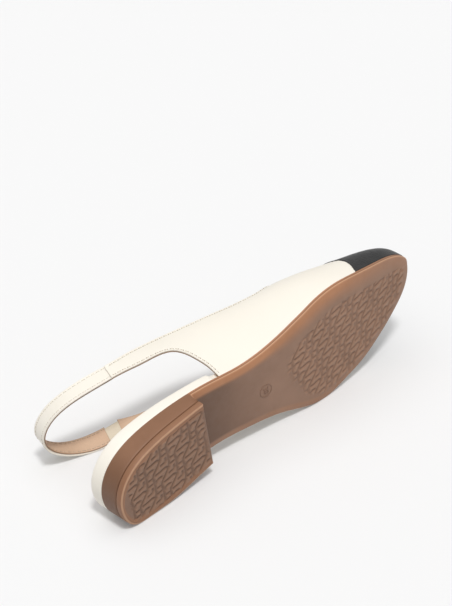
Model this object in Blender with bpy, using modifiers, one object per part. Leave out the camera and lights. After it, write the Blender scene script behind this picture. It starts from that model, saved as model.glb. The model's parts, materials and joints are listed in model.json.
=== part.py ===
"""Sling back flat, a left shoe, lying on its outer side.

The shoe is shaped upright: X runs from the back of the heel to the toe, +Y is its
outer side, Z is up from the ground under the heel. One empty then lays it down.
"""
import math

import bmesh
import bpy
import numpy as np
from mathutils import Matrix, Vector

mm = 0.001

# Sole
SOLE_LENGTH = 262 * mm
BALL_WIDTH = 77 * mm
STACK_HEIGHT = 16.4 * mm
TOE_SPRING = 4.6 * mm
SOLE_WALL = 2.4 * mm
SOLE_BEVEL_DROP = 1.0 * mm
SOLE_BEVEL_WIDTH = 2.6 * mm

# Heel under the sole
HEEL_LENGTH = 72.4 * mm
TOP_LIFT_HEIGHT = 4.4 * mm
HEEL_TAPER = 0.4 * mm
HEEL_FLARE = 0.4 * mm
BREAST_SLOPE = 1.0 * mm
TREAD_EDGE = 0.8 * mm

# Footbed and its lining
RAND_HEIGHT = 9.6 * mm
RAND_SETBACK = 0.3 * mm
RAND_ROUND = 1.2 * mm
SOCK_THICKNESS = 0.9 * mm
SOCK_MARGIN = 1.0 * mm

# Upper
INSTEP_HEIGHT = 76 * mm
UPPER_WALL = 1.6 * mm
CAP_LENGTH = 47.5 * mm
CAP_WALL = 1.1 * mm
CAP_STEP = 0.3 * mm

# Sling
STRAP_WIDTH = 12.6 * mm
STRAP_THICKNESS = 2.0 * mm
STRAP_REACH = 45.6 * mm
STRAP_BACK_HEIGHT = 81 * mm
ELASTIC_WIDTH = 10.2 * mm
ELASTIC_THICKNESS = 1.2 * mm
ELASTIC_SHARE = 0.075

# Between two pieces
GAP = 0.3 * mm

# Points nearer than this are one point
WELD = 0.02 * mm

# How finely the shapes are divided
SOLE_STATIONS = 46
COLLAR_COLUMNS = 50
VAMP_COLUMNS = 9
UPPER_ROWS = 9
CAP_COLUMNS = 16
CAP_ROWS = 11
STRAP_COLUMNS = 44

# Half widths of the sole from its centre line, as shares of BALL_WIDTH
OUTLINE = (
    # along, inner, outer
    (0.00, 0.020, 0.020),
    (0.03, -0.213, 0.264),
    (0.08, -0.307, 0.305),
    (0.15, -0.346, 0.328),
    (0.22, -0.350, 0.312),
    (0.32, -0.334, 0.296),
    (0.42, -0.296, 0.335),
    (0.52, -0.330, 0.415),
    (0.60, -0.398, 0.533),
    (0.67, -0.441, 0.585),
    (0.73, -0.436, 0.560),
    (0.79, -0.393, 0.520),
    (0.85, -0.335, 0.447),
    (0.91, -0.272, 0.350),
    (0.96, -0.190, 0.250),
    (1.00, -0.013, -0.013),
)

# Side view of the sole: rise of its top edge over the forefoot as a share of the
# heel's, spring as a share of TOE_SPRING, rand as a share of RAND_HEIGHT
PROFILE = (
    # along, rise, spring, rand
    (0.00, 1.000, 0.00, 1.00),
    (0.08, 0.985, 0.00, 0.99),
    (0.15, 0.950, 0.00, 0.90),
    (0.21, 0.900, 0.00, 0.84),
    (0.28, 0.784, 0.00, 0.75),
    (0.36, 0.620, 0.00, 0.72),
    (0.42, 0.450, 0.00, 0.60),
    (0.50, 0.235, 0.00, 0.36),
    (0.57, 0.080, 0.00, 0.21),
    (0.63, 0.000, 0.00, 0.21),
    (0.76, 0.000, 0.00, 0.21),
    (0.88, 0.000, 0.26, 0.21),
    (0.95, 0.000, 0.62, 0.21),
    (1.00, 0.000, 1.00, 0.21),
)

# Cross sections of the last: ridge over the sole's top edge as a share of
# INSTEP_HEIGHT, its sideways offset and the swell of the walls as shares of
# BALL_WIDTH, and how full the arch is
LAST = (
    # along, ridge, offset, swell, full
    (0.000, 1.550, 0.020, 0.030, 2.2),
    (0.200, 1.450, -0.005, 0.055, 2.2),
    (0.360, 1.080, -0.020, 0.060, 2.2),
    (0.460, 0.950, -0.030, 0.055, 2.2),
    (0.550, 0.797, -0.040, 0.040, 2.3),
    (0.630, 0.660, -0.050, 0.025, 2.4),
    (0.690, 0.566, -0.065, 0.020, 2.4),
    (0.760, 0.472, -0.080, 0.015, 2.4),
    (0.825, 0.390, -0.070, 0.015, 2.5),
    (0.900, 0.312, -0.045, 0.015, 2.6),
    (0.955, 0.250, -0.015, 0.015, 2.6),
    (0.985, 0.195, -0.020, 0.012, 2.5),
    (1.000, 0.050, -0.013, 0.000, 2.5),
)

# Top line from the tail of the quarter to the throat. A turn of 0 is the sole's
# top edge and 1 is the ridge of the last
COLLAR = (
    # inner along, inner turn, outer along, outer turn
    (0.227, 0.329, 0.244, 0.378),
    (0.252, 0.346, 0.264, 0.370),
    (0.282, 0.373, 0.286, 0.366),
    (0.326, 0.415, 0.326, 0.380),
    (0.393, 0.478, 0.393, 0.426),
    (0.464, 0.512, 0.464, 0.476),
    (0.530, 0.527, 0.530, 0.500),
    (0.591, 0.512, 0.591, 0.500),
    (0.625, 0.523, 0.625, 0.515),
    (0.650, 0.590, 0.650, 0.585),
    (0.670, 0.710, 0.670, 0.705),
    (0.685, 0.870, 0.685, 0.870),
    (0.690, 1.000, 0.690, 1.000),
)

# Lower edge of the tail, then the back edge of the quarter down to the sole
BACK_EDGE = (
    # inner along, inner turn, outer along, outer turn
    (0.209, 0.236, 0.2225, 0.275),
    (0.249, 0.246, 0.250, 0.262),
    (0.288, 0.257, 0.288, 0.256),
    (0.321, 0.274, 0.321, 0.256),
    (0.350, 0.282, 0.350, 0.254),
    (0.366, 0.268, 0.365, 0.240),
    (0.374, 0.232, 0.372, 0.210),
    (0.378, 0.150, 0.376, 0.145),
    (0.377, 0.073, 0.376, 0.073),
    (0.369, 0.000, 0.369, 0.000),
)

# Sling from the inner tail round the back to the outer tail: how far back of the
# tails it lies as a share of STRAP_REACH, sideways as a share of BALL_WIDTH, and
# height as a share of STRAP_BACK_HEIGHT, with the ribbon's tilt forwards and
# inwards in degrees
SLING = (
    # back, side, height, forwards, inwards
    (0.29, -0.327, 0.848, 17, -1),
    (0.61, -0.282, 0.907, 19, -3),
    (0.85, -0.195, 0.963, 22, 0),
    (1.00, -0.071, 0.994, 19, 1),
    (0.99, 0.061, 1.007, 15, 4),
    (0.83, 0.196, 0.991, 12, 4),
    (0.58, 0.287, 0.957, 16, 6),
    (0.26, 0.318, 0.898, 20, 16),
)

HEEL_REACH = HEEL_LENGTH / SOLE_LENGTH
CAP_START = 1 - CAP_LENGTH / SOLE_LENGTH
CAP_RECESS = CAP_WALL + GAP - CAP_STEP
THROAT = COLLAR[-1][0]
SOLE_THICKNESS = SOLE_WALL + SOLE_BEVEL_DROP

# Columns of the upper: share of them that starts at the back edge, how far ahead of
# the throat they meet the sole, and the weight of a turn against a share of the length
FAN_SHARE = 0.58
VAMP_LEAN = 0.02
TURN_LENGTH = 0.3

# The upper steps in just behind the cap's seam, as shares of the length
CAP_CLEAR = 0.0015
STEP_RUN = 0.003

# The footbed draws in over this share of the length, and is in this far ahead
DRAW_IN_RUN = 0.03
QUARTER_LEAD = 0.008
CAP_LEAD = 0.01

# Fine steps of the rounded rand, of slopes, and of what counts as facing down
ROUND_SHARE = 0.3
SMALL_STEP = 1e-4
WHOLE_SOLE = 0.999
FACES_OUT = 0.5

# The heel's flare fades out over this share of the length from its back
FLARE_REACH = 0.13


def station(along):
    """Even steps of a station crowd towards the heel and the toe, where the outline turns."""
    return np.arccos(1 - 2 * np.clip(along, 0, 1)) / math.pi


def along_at(stations):
    return (1 - np.cos(math.pi * np.asarray(stations))) / 2


def fair(knots, values, at):
    """Natural cubic spline, for outlines that must look fair."""
    count = len(knots)
    step = np.diff(knots)
    system = np.eye(count)
    right = np.zeros(count)
    for i in range(1, count - 1):
        system[i, i - 1:i + 2] = step[i - 1], 2 * (step[i - 1] + step[i]), step[i]
        right[i] = 6 * ((values[i + 1] - values[i]) / step[i] - (values[i] - values[i - 1]) / step[i - 1])
    bend = np.linalg.solve(system, right)
    i = np.clip(np.searchsorted(knots, at) - 1, 0, count - 2)
    before, after = at - knots[i], knots[i + 1] - at
    cubic = (bend[i] * after ** 3 + bend[i + 1] * before ** 3) / (6 * step[i])
    line = (values[i] / step[i] - bend[i] * step[i] / 6) * after
    return cubic + line + (values[i + 1] / step[i] - bend[i + 1] * step[i] / 6) * before


def steady(knots, values, at):
    """Cubic curve that never overshoots, so that flat stretches stay flat."""
    step = np.diff(knots)
    slope = np.diff(values) / step
    lean = np.zeros(len(knots))
    lean[0], lean[-1] = slope[0], slope[-1]
    same = slope[:-1] * slope[1:] > 0
    lean[1:-1][same] = 2 * (slope[:-1] * slope[1:])[same] / (slope[:-1] + slope[1:])[same]
    i = np.clip(np.searchsorted(knots, at) - 1, 0, len(step) - 1)
    t = (at - knots[i]) / step[i]
    ends = values[i] * (1 + 2 * t) * (1 - t) ** 2 + values[i + 1] * t * t * (3 - 2 * t)
    return ends + step[i] * t * (1 - t) * (lean[i] * (1 - t) - lean[i + 1] * t)


def column(table, index, along, rule):
    rows = np.array(table)
    return rule(station(rows[:, 0]), rows[:, index], station(along))


def path(rows, count, weights=1):
    """Points at even steps along a smooth curve through the rows."""
    rows = np.array(rows)
    length = np.r_[0, np.cumsum(np.linalg.norm(np.diff(rows, axis=0) * weights, axis=1))]
    at = np.linspace(0, length[-1], count)
    return np.stack([fair(length, rows[:, k], at) for k in range(rows.shape[1])], axis=1)


def ease(start, end, value):
    t = np.clip((np.asarray(value) - start) / (end - start), 0, 1)
    return t * t * (3 - 2 * t)


def ground(along):
    """Underside of the sole without its heel."""
    rise = column(PROFILE, 1, along, steady) * (STACK_HEIGHT - SOLE_THICKNESS)
    return rise + column(PROFILE, 2, along, steady) * TOE_SPRING


def feather(along):
    """Top edge of the sole, where the upper meets it."""
    return ground(along) + SOLE_THICKNESS


def footbed_top(along):
    return feather(along) + RAND_HEIGHT * column(PROFILE, 3, along, steady)


def edge(along, side):
    """The sole's outline on one side, -1 inner and +1 outer."""
    return BALL_WIDTH * column(OUTLINE, 1 if side < 0 else 2, along, fair)


def inset_edge(stations, inset, side):
    """Points of the outline moved inwards by a distance, square to the outline."""
    ahead, behind = np.minimum(stations + SMALL_STEP, 1), np.maximum(stations - SMALL_STEP, 0)
    dx = SOLE_LENGTH * (along_at(ahead) - along_at(behind))
    dy = edge(along_at(ahead), side) - edge(along_at(behind), side)
    size = np.hypot(dx, dy)
    x = SOLE_LENGTH * along_at(stations) + side * inset * dy / size
    y = edge(along_at(stations), side) - side * inset * dx / size
    return x, y


def heel_draft(along, height):
    """How far the heel's wall stands in from the outline, at a height over its tread."""
    back = 1 - ease(0, FLARE_REACH, along)
    return (HEEL_TAPER - HEEL_FLARE * back) * (1 - height / STACK_HEIGHT)


def loop(stations, inset, height):
    """Closed ring round the sole: inner side to the toe, outer side back to the heel."""
    inset = np.broadcast_to(inset, stations.shape)
    height = np.broadcast_to(height, stations.shape)
    inner_x, inner_y = inset_edge(stations, inset, -1)
    outer_x, outer_y = inset_edge(stations, inset, 1)
    back = (inner_x[0] + outer_x[0]) / 2
    inner_x[0] = outer_x[0] = back
    inner_y[0] = outer_y[0] = (inner_y[0] + outer_y[0]) / 2
    first = np.stack([inner_x, inner_y, height], axis=1)
    second = np.stack([outer_x, outer_y, height], axis=1)
    if stations[-1] > WHOLE_SOLE:
        first[-1] = (first[-1] + second[-1]) / 2
        second = second[:-1]
    return np.concatenate([first, second[:0:-1]])


def last(along, turn, side):
    """Surface of the last. A turn of 0 is the sole's top edge and 1 is the ridge."""
    ridge = INSTEP_HEIGHT * column(LAST, 1, along, fair)
    middle = BALL_WIDTH * column(LAST, 2, along, fair)
    swell = BALL_WIDTH * column(LAST, 3, along, fair)
    power = 2 / column(LAST, 4, along, steady)
    angle = np.clip(turn, 0, 1) * math.pi / 2
    across = (edge(along, side) - middle) * np.cos(angle) ** power + side * swell * np.sin(2 * angle)
    height = feather(along) + GAP + ridge * np.sin(angle) ** power
    x = SOLE_LENGTH * np.broadcast_to(along, height.shape)
    return np.stack([x, middle + across, height], axis=-1)


def new_object(name, mesh, finish, collection):
    mesh.materials.append(finish)
    piece = bpy.data.objects.new(name, mesh)
    collection.objects.link(piece)
    return piece


def smooth(mesh, sharp_degrees):
    mesh.shade_smooth()
    mesh.set_sharp_from_angle(angle=math.radians(sharp_degrees))


def layered(name, rings, finish, collection):
    """Solid between rings of the sole's outline, its ends filled straight across."""
    bm = bmesh.new()
    rows = [[bm.verts.new(point) for point in ring] for ring in rings]
    count = len(rows[0])
    for low, high in zip(rows[:-1], rows[1:]):
        for i in range(count):
            j = (i + 1) % count
            bm.faces.new((low[i], low[j], high[j], high[i]))
    for row, flip in ((rows[0], True), (rows[-1], False)):
        for i in range(count // 2):
            corners = [row[i], row[i + 1], row[-i - 1], row[-i % count]]
            corners = [v for k, v in enumerate(corners) if v not in corners[:k]]
            if len(corners) > 2:
                bm.faces.new(corners[::-1] if flip else corners)
    bmesh.ops.recalc_face_normals(bm, faces=bm.faces)
    mesh = bpy.data.meshes.new(name)
    bm.to_mesh(mesh)
    bm.free()
    smooth(mesh, 32)
    return new_object(name, mesh, finish, collection)


def skin(name, patches, finish, collection):
    """Open surface from grids of points, welded where the grids meet."""
    bm = bmesh.new()
    for grid, flip in patches:
        rows = [[bm.verts.new(point) for point in line] for line in grid]
        for a, b in zip(rows[:-1], rows[1:]):
            for i in range(len(a) - 1):
                corners = (a[i], a[i + 1], b[i + 1], b[i])
                bm.faces.new(corners[::-1] if flip else corners)
    bmesh.ops.remove_doubles(bm, verts=bm.verts, dist=WELD)
    mesh = bpy.data.meshes.new(name)
    bm.to_mesh(mesh)
    bm.free()
    smooth(mesh, 40)
    return new_object(name, mesh, finish, collection)


def thicken(piece, thickness, offset):
    solid = piece.modifiers.new("Wall", "SOLIDIFY")
    solid.thickness = thickness
    solid.offset = offset
    solid.use_quality_normals = True


def move_out(piece, distance, group):
    """Moves a surface along its own normals, or only a group of its points."""
    shift = piece.modifiers.new("Offset", "DISPLACE")
    shift.strength = distance
    shift.mid_level = 0
    shift.vertex_group = group


def vamp_ends(start, turn):
    """Ends of the columns past the throat, even up to the cap and again under it."""
    step = CAP_START - CAP_CLEAR
    bare = np.linspace(station(start), station(step - STEP_RUN), VAMP_COLUMNS)[1:]
    covered = np.linspace(station(step), 1, CAP_COLUMNS)
    along = along_at(np.concatenate([bare, covered]))
    return np.stack([along, np.full(len(along), turn)], axis=1)


def quarter_grid(side):
    """Columns of the upper on one side, from the tail's end to the toe."""
    pick = slice(0, 2) if side < 0 else slice(2, 4)
    collar = np.array(COLLAR)[:, pick]
    back = np.array(BACK_EDGE)[:, pick]
    # The tail and the back edge fan out to the first part of the top line
    fan_columns = round(COLLAR_COLUMNS * FAN_SHARE)
    weights = (1, TURN_LENGTH)
    sole_columns = COLLAR_COLUMNS - fan_columns
    seat_end = station(THROAT + VAMP_LEAN)
    seat = along_at(np.linspace(station(back[-1, 0]), seat_end, sole_columns + 1))[1:]
    sole = np.stack([seat, 0 * seat], axis=1)
    low = np.concatenate([path(back, fan_columns, weights), sole, vamp_ends(THROAT + VAMP_LEAN, 0)])
    top = np.concatenate([path(collar, COLLAR_COLUMNS, weights), vamp_ends(THROAT, 1)])
    share = np.linspace(0, 1, UPPER_ROWS)[:, None, None]
    flat = np.clip(low[None] * (1 - share) + top[None] * share, 0, 1)
    return last(flat[..., 0], flat[..., 1], side)


def cap_grid(side):
    stations = np.linspace(station(CAP_START), 1, CAP_COLUMNS)
    along, turn = np.meshgrid(along_at(stations), np.linspace(0, 1, CAP_ROWS))
    return last(along, turn, side)


def tail_end(side):
    """Middle of a tail's end, its edge direction, and its outward direction."""
    pick = slice(0, 2) if side < 0 else slice(2, 4)
    high = last(*np.array(COLLAR)[0, pick], side)
    low = last(*np.array(BACK_EDGE)[0, pick], side)
    forward = last(*np.array(COLLAR)[1, pick], side) - high
    up = (high - low) / np.linalg.norm(high - low)
    out = side * np.cross(up, forward)
    return (high + low) / 2, up, out / np.linalg.norm(out)


def sling_sections(count):
    """Middles, widthwise directions and outward directions round the back of the heel."""
    ends = [tail_end(-1), tail_end(1)]
    mid = STRAP_THICKNESS / 2
    points, ups = [ends[0][0] - ends[0][2] * mid], [ends[0][1]]
    front = ends[0][0][0]
    for back, across, height, forwards, inwards in SLING:
        points.append(np.array([front - back * STRAP_REACH, across * BALL_WIDTH,
                                height * STRAP_BACK_HEIGHT]))
        ups.append(np.array([math.tan(math.radians(forwards)), -math.tan(math.radians(inwards)), 1]))
    points.append(ends[1][0] - ends[1][2] * mid)
    ups.append(ends[1][1])
    ups = [up / np.linalg.norm(up) * STRAP_WIDTH for up in ups]
    frames = path(np.concatenate([points, ups], axis=1), count)
    middle, up = frames[:, :3], frames[:, 3:]
    run = np.gradient(middle, axis=0)
    run /= np.linalg.norm(run, axis=1)[:, None]
    up /= np.linalg.norm(up, axis=1)[:, None]
    return middle, up, run


def ribbon(name, middle, up, width, thickness, finish, collection):
    shares = np.linspace(0.5, -0.5, 4)
    grid = [middle + up * width * share for share in shares]
    piece = skin(name, [(grid, False)], finish, collection)
    thicken(piece, thickness, 0)
    return piece


def material(name, colour, roughness):
    finish = bpy.data.materials.new(name)
    finish.use_nodes = True
    shader = finish.node_tree.nodes["Principled BSDF"]
    shader.inputs["Base Color"].default_value = (*colour, 1)
    shader.inputs["Roughness"].default_value = roughness
    shader.inputs["Metallic"].default_value = 0
    return finish


def make_outsole(collection, finish):
    """Forefoot, waist and heel stack in one moulding."""
    breast = station(HEEL_REACH)
    breast_top = station((HEEL_LENGTH + BREAST_SLOPE) / SOLE_LENGTH)
    heel_count = SOLE_STATIONS // 3
    heel = np.linspace(0, breast, heel_count)
    rest = np.linspace(breast_top, 1, SOLE_STATIONS - heel_count)
    stations = np.concatenate([heel, rest])
    under_heel = stations <= breast
    along = along_at(stations)
    stack_bottom = TOP_LIFT_HEIGHT + GAP
    wall = np.where(under_heel, stack_bottom, feather(along) - SOLE_WALL)
    floor = np.where(under_heel, stack_bottom, ground(along))
    draft = np.where(under_heel, heel_draft(along, TOP_LIFT_HEIGHT), 0)
    rings = [
        loop(stations, 0, feather(along)),
        loop(stations, draft, wall),
        loop(stations, draft + SOLE_BEVEL_WIDTH, floor),
    ]
    return layered("outsole", rings, finish, collection)


def make_top_lift(collection, finish):
    stations = np.linspace(0, station(HEEL_REACH), SOLE_STATIONS // 3)
    along = along_at(stations)
    rings = [
        loop(stations, heel_draft(along, TOP_LIFT_HEIGHT), TOP_LIFT_HEIGHT),
        loop(stations, heel_draft(along, TREAD_EDGE), TREAD_EDGE),
        loop(stations, heel_draft(along, 0) + TREAD_EDGE, 0),
    ]
    return layered("top_lift", rings, finish, collection)


def inside_upper(along):
    """How far the footbed stands back from the outline: flush at the heel, inside the upper after it."""
    quarter_start = BACK_EDGE[-1][0]
    covered = ease(quarter_start - DRAW_IN_RUN, quarter_start - QUARTER_LEAD, along)
    capped = ease(CAP_START - DRAW_IN_RUN, CAP_START - CAP_LEAD, along)
    return RAND_SETBACK + covered * (UPPER_WALL + 2 * GAP) + capped * CAP_RECESS


def make_footbed(collection, finish):
    stations = np.linspace(0, 1, SOLE_STATIONS)
    along = along_at(stations)
    inset = inside_upper(along)
    top = footbed_top(along)
    bottom = feather(along) + GAP
    rounding = np.minimum(RAND_ROUND, (top - bottom) / 2)
    rings = [
        loop(stations, inset, bottom),
        loop(stations, inset, top - rounding),
        loop(stations, inset + ROUND_SHARE * rounding, top - ROUND_SHARE * rounding),
        loop(stations, inset + rounding, top),
    ]
    return layered("footbed", rings, finish, collection)


def make_sock(collection, finish):
    stations = np.linspace(0, 1, SOLE_STATIONS)
    along = along_at(stations)
    inset = inside_upper(along) + RAND_ROUND + SOCK_MARGIN
    bottom = footbed_top(along) + GAP
    rings = [
        loop(stations, inset, bottom),
        loop(stations, inset, bottom + SOCK_THICKNESS),
    ]
    return layered("sock_lining", rings, finish, collection)


def make_upper(collection, finish):
    patches = [(quarter_grid(-1), False), (quarter_grid(1), True)]
    upper = skin("upper", patches, finish, collection)
    covered = upper.vertex_groups.new(name="Under the cap")
    step = SOLE_LENGTH * (CAP_START - CAP_CLEAR - STEP_RUN / 2)
    covered.add([v.index for v in upper.data.vertices if v.co.x > step], 1, "REPLACE")
    move_out(upper, -CAP_RECESS, covered.name)
    thicken(upper, UPPER_WALL, -1)
    return upper


def make_toe_cap(collection, finish):
    """Overlay that follows the upper, which steps in to take it."""
    cap = skin("toe_cap", [(cap_grid(-1), False), (cap_grid(1), True)], finish, collection)
    move_out(cap, CAP_STEP, "")
    thicken(cap, CAP_WALL, -1)
    return cap


def make_sling(collection, leather, elastic):
    """Strap and elastic end to end, one gap off the tails and off each other."""
    middle, up, run = sling_sections(STRAP_COLUMNS)
    split = round((STRAP_COLUMNS - 1) * (1 - ELASTIC_SHARE))
    final = STRAP_COLUMNS - 1
    pieces = []
    for name, start, end, width, thickness, finish in (
            ("sling_strap", 0, split, STRAP_WIDTH, STRAP_THICKNESS, leather),
            ("elastic", split, final, ELASTIC_WIDTH, ELASTIC_THICKNESS, elastic)):
        part = slice(start, end + 1)
        centre = middle[part].copy()
        for index, place, sign in ((0, start, 1), (-1, end, -1)):
            share = 0.5 if place == split else 1
            skew = math.sqrt(1 - (run[place] @ up[place]) ** 2)
            centre[index] += sign * run[place] * share * GAP / skew
        pieces.append(ribbon(name, centre, up[part], width, thickness, finish, collection))
    return pieces


def world_mesh(piece):
    evaluated = piece.evaluated_get(bpy.context.evaluated_depsgraph_get())
    mesh = evaluated.to_mesh()
    points = np.array([evaluated.matrix_world @ v.co for v in mesh.vertices])
    mesh.calc_loop_triangles()
    triangles = np.array([t.vertices[:] for t in mesh.loop_triangles])
    evaluated.to_mesh_clear()
    return points, triangles


def balance(meshes):
    """Centre of the pieces' volumes."""
    total, moment = 0, np.zeros(3)
    for points, triangles in meshes:
        a, b, c = (points[triangles[:, k]] for k in range(3))
        volume = np.einsum("ij,ij->i", a, np.cross(b, c)) / 6
        total += volume.sum()
        moment += (volume[:, None] * (a + b + c) / 4).sum(axis=0)
    return Vector(moment / total)


def resting_face(meshes, centre):
    """Outward direction of the hull's face on the outer side, straight out from the centre."""
    bm = bmesh.new()
    for points, _ in meshes:
        for point in points:
            bm.verts.new(point)
    bmesh.ops.convex_hull(bm, input=bm.verts)
    best, direction = math.inf, None
    for face in bm.faces:
        normal = face.normal
        if normal.y < FACES_OUT:
            continue
        reach = (face.verts[0].co - centre).dot(normal) / normal.y
        if reach < best:
            best, direction = reach, normal.copy()
    bm.free()
    return direction


def lay_down(holder, pieces):
    """Turns the shoe onto its outer side, its length along X, centred over the origin."""
    meshes = [world_mesh(piece) for piece in pieces]
    down = resting_face(meshes, balance(meshes))
    length = Vector((1, 0, 0))
    length = (length - length.dot(down) * down).normalized()
    turn = Matrix((length, down.cross(length) * -1, down * -1))
    points = np.concatenate([points for points, _ in meshes]) @ np.array(turn).T
    low, high = points.min(axis=0), points.max(axis=0)
    shift = Vector((-(low[0] + high[0]) / 2, -(low[1] + high[1]) / 2, -low[2]))
    holder.matrix_world = Matrix.Translation(shift) @ turn.to_4x4()


def main():
    for old in list(bpy.data.objects):
        bpy.data.objects.remove(old, do_unlink=True)
    shoe = bpy.data.collections.new("Sling back flat")
    bpy.context.scene.collection.children.link(shoe)
    cream = material("Cream leather", (0.93, 0.89, 0.80), 0.5)
    black = material("Black grained leather", (0.02, 0.02, 0.02), 0.45)
    rubber = material("Brown moulded rubber", (0.21, 0.11, 0.07), 0.6)
    lift = material("Brown heel tread", (0.24, 0.13, 0.08), 0.6)
    lining = material("Tan lining", (0.55, 0.38, 0.25), 0.7)
    webbing = material("Cream elastic", (0.75, 0.65, 0.50), 0.8)

    pieces = [
        make_outsole(shoe, rubber),
        make_top_lift(shoe, lift),
        make_footbed(shoe, cream),
        make_sock(shoe, lining),
        make_upper(shoe, cream),
        make_toe_cap(shoe, black),
    ]
    pieces += make_sling(shoe, cream, webbing)

    holder = bpy.data.objects.new("shoe", None)
    shoe.objects.link(holder)
    for piece in pieces:
        piece.parent = holder
    bpy.context.view_layer.update()
    lay_down(holder, pieces)


main()
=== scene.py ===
"""Looks of the sling back flat, a left shoe lying on its outer side.

Shapes are worked out upright, in the shoe's own frame and in millimetres: X from the
back of the heel to the toe, +Y its outer side, Z up from the ground. Each piece then
takes the lying shoe's place, which the record's two tread mounts give.
"""
import json
import math

import bmesh
import bpy
import numpy as np
from mathutils import Matrix, Vector


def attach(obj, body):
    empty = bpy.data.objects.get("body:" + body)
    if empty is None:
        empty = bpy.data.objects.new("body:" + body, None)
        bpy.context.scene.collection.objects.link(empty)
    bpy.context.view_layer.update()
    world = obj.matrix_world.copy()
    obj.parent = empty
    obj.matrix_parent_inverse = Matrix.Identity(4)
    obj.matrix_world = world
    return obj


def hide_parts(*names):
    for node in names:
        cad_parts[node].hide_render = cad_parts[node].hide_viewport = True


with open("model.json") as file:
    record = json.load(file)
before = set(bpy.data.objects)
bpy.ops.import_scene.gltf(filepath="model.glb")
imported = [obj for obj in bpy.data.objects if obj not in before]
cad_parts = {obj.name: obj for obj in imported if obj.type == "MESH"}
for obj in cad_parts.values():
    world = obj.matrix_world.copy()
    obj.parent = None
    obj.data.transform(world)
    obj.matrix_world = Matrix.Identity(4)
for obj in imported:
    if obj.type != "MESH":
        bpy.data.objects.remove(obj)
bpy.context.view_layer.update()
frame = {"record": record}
MM = 0.001

# Sole, in millimetres, as in the part's source
SOLE_LENGTH = 262
BALL_WIDTH = 77
STACK_HEIGHT = 16.4
TOE_SPRING = 4.6
SOLE_THICKNESS = 3.4
HEEL_LENGTH = 72.4
TOP_LIFT_HEIGHT = 4.4
HEEL_TAPER = 0.4
HEEL_FLARE = 0.4
FLARE_REACH = 0.13
BREAST_SLOPE = 1.0

# Footbed and its lining
RAND_HEIGHT = 9.6
RAND_SETBACK = 0.3
RAND_ROUND = 1.2
RAND_SEAT = 0.12
RAND_CORNER_WIDTH = 0.25
RAND_CORNER_HEIGHT = 0.3
RAND_SWELL = 0.12
SOCK_THICKNESS = 0.9
SOCK_MARGIN = 1.0
SOCK_SEAT = 0.05
SOCK_GROOVE = 0.25
SOCK_GROOVE_PLACE = 4.5
SOCK_GROOVE_WIDTH = 1.1
SOCK_PAD = 0.2

# Upper
INSTEP_HEIGHT = 76
LEATHER = 0.9
UPPER_WALL = 1.6
LINING_CLEAR = 0.03
LINING_PROUD = 0.15
CAP_WALL = 1.1
CAP_STEP = 0.35
CAP_SEAT = 0.05

# Sling
STRAP_WIDTH = 12.6
STRAP_THICKNESS = 2.0
STRAP_LEATHER = 1.3
STRAP_LINING_SETBACK = 0.3
STRAP_REACH = 45.6
STRAP_BACK_HEIGHT = 81
ELASTIC_WIDTH = 10.2
ELASTIC_THICKNESS = 1.2
ELASTIC_SHARE = 0.075
ELASTIC_FACE = 0.25
GAP = 0.3
SEAT_TURN = 0.08

# Weave of the elastic, in radians a millimetre
ELASTIC_RIBS = 9
ELASTIC_THREADS = 7

# Stitching
STITCH_PITCH = 3.2
STITCH_LENGTH = 2.3
THREAD = 0.55
THREAD_TIP = 0.02
STITCH_RISE = 0.25
STITCH_SINK = 0.9
STITCH_MARGIN = 1.7

# Stitched folds: rise of the fold, its place and width, dent of the stitches and its width
UPPER_FOLD = (0.12, 0.7, 0.7, 0.22, 0.45)
CAP_FOLD = (0.10, 0.8, 0.7, 0.14, 0.4)
STRAP_FOLD = (0.12, 0.7, 0.6, 0.2, 0.4)

# Half widths of the sole from its centre line, as shares of BALL_WIDTH
OUTLINE = (
    # along, inner, outer
    (0.00, 0.020, 0.020),
    (0.03, -0.213, 0.264),
    (0.08, -0.307, 0.305),
    (0.15, -0.346, 0.328),
    (0.22, -0.350, 0.312),
    (0.32, -0.334, 0.296),
    (0.42, -0.296, 0.335),
    (0.52, -0.330, 0.415),
    (0.60, -0.398, 0.533),
    (0.67, -0.441, 0.585),
    (0.73, -0.436, 0.560),
    (0.79, -0.393, 0.520),
    (0.85, -0.335, 0.447),
    (0.91, -0.272, 0.350),
    (0.96, -0.190, 0.250),
    (1.00, -0.013, -0.013),
)

# Side view of the sole
PROFILE = (
    # along, rise, spring, rand
    (0.00, 1.000, 0.00, 1.00),
    (0.08, 0.985, 0.00, 0.99),
    (0.15, 0.950, 0.00, 0.90),
    (0.21, 0.900, 0.00, 0.84),
    (0.28, 0.784, 0.00, 0.75),
    (0.36, 0.620, 0.00, 0.72),
    (0.42, 0.450, 0.00, 0.60),
    (0.50, 0.235, 0.00, 0.36),
    (0.57, 0.080, 0.00, 0.21),
    (0.63, 0.000, 0.00, 0.21),
    (0.76, 0.000, 0.00, 0.21),
    (0.88, 0.000, 0.26, 0.21),
    (0.95, 0.000, 0.62, 0.21),
    (1.00, 0.000, 1.00, 0.21),
)

# Cross sections of the last
LAST = (
    # along, ridge, offset, swell, full
    (0.000, 1.550, 0.020, 0.030, 2.2),
    (0.200, 1.450, -0.005, 0.055, 2.2),
    (0.360, 1.080, -0.020, 0.060, 2.2),
    (0.460, 0.950, -0.030, 0.055, 2.2),
    (0.550, 0.797, -0.040, 0.040, 2.3),
    (0.630, 0.660, -0.050, 0.025, 2.4),
    (0.690, 0.566, -0.065, 0.020, 2.4),
    (0.760, 0.472, -0.080, 0.015, 2.4),
    (0.825, 0.390, -0.070, 0.015, 2.5),
    (0.900, 0.312, -0.045, 0.015, 2.6),
    (0.955, 0.250, -0.015, 0.015, 2.6),
    (0.985, 0.195, -0.020, 0.012, 2.5),
    (1.000, 0.050, -0.013, 0.000, 2.5),
)

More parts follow.
